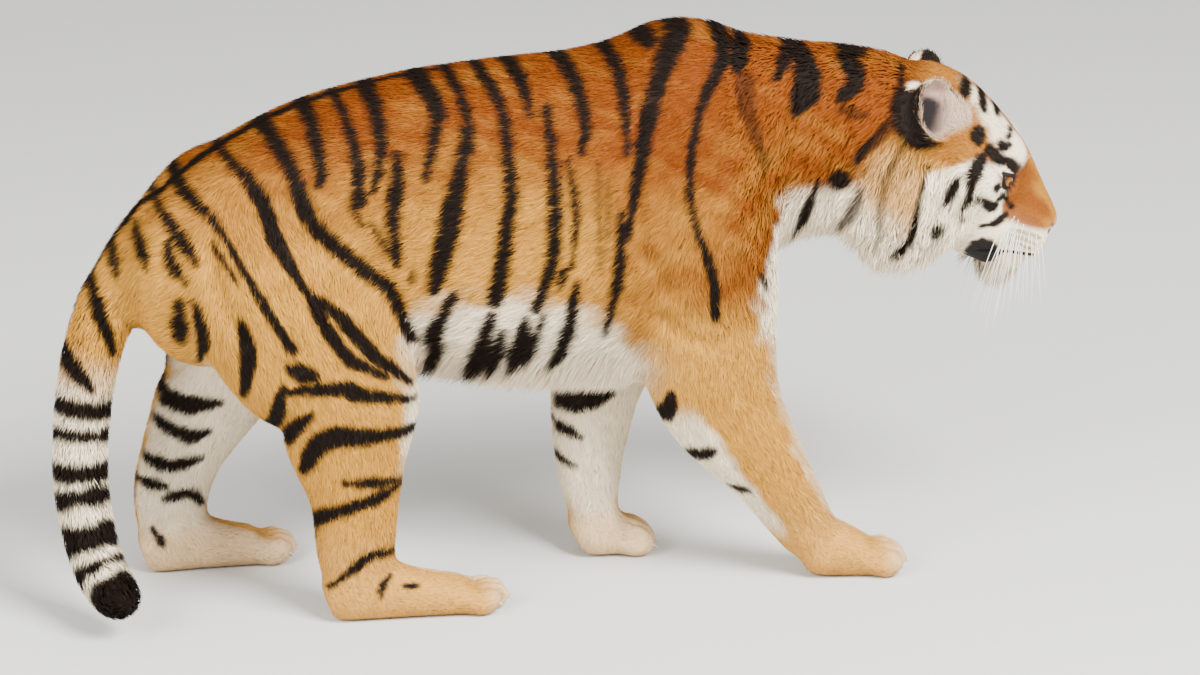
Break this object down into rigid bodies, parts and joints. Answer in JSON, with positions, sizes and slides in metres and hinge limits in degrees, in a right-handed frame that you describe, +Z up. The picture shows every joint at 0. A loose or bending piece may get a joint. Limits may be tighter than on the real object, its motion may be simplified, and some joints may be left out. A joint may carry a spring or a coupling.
{
  "type": "bengal tiger",
  "caption": "Life-size still model of a tiger walking with its head low and its tail hanging, standing on its four paws.",
  "frame": {"origin": "the floor under the middle of the tiger's box", "axes": "+X towards the nose, +Y to the tiger's left, +Z up"},
  "size_m": [1.7586, 0.4219, 0.9939],
  "materials": {
    "coat_tawny": "short dense fur, orange on the back and paler on the flanks, with dark stripes",
    "coat_pale": "short cream fur on the chin, jaw and feet",
    "coat_dark": "short black-brown fur on the backs of the ears and the end of the tail",
    "nose_skin": "bare, slightly moist, finely pebbled skin",
    "eye_amber": "wet, clear cornea over an amber iris"
  },
  "bodies": {
    "root": {"ear_right": "coat_dark", "ear_left": "coat_dark", "nose": "nose_skin", "jaw": "coat_pale", "head": "coat_tawny", "neck": "coat_tawny", "tail_tip": "coat_dark", "tail_middle": "coat_tawny", "tail_base": "coat_tawny", "forepaw_right": "coat_pale", "forepaw_left": "coat_pale", "hindpaw_right": "coat_pale", "hindpaw_left": "coat_pale", "foreleg_right": "coat_tawny", "foreleg_left": "coat_tawny", "shank_right": "coat_tawny", "shank_left": "coat_tawny", "thigh_right": "coat_tawny", "thigh_left": "coat_tawny", "hips": "coat_tawny", "loin": "coat_tawny", "chest": "coat_tawny", "eye_right": "eye_amber", "eye_left": "eye_amber"}
  },
  "joints": []
}
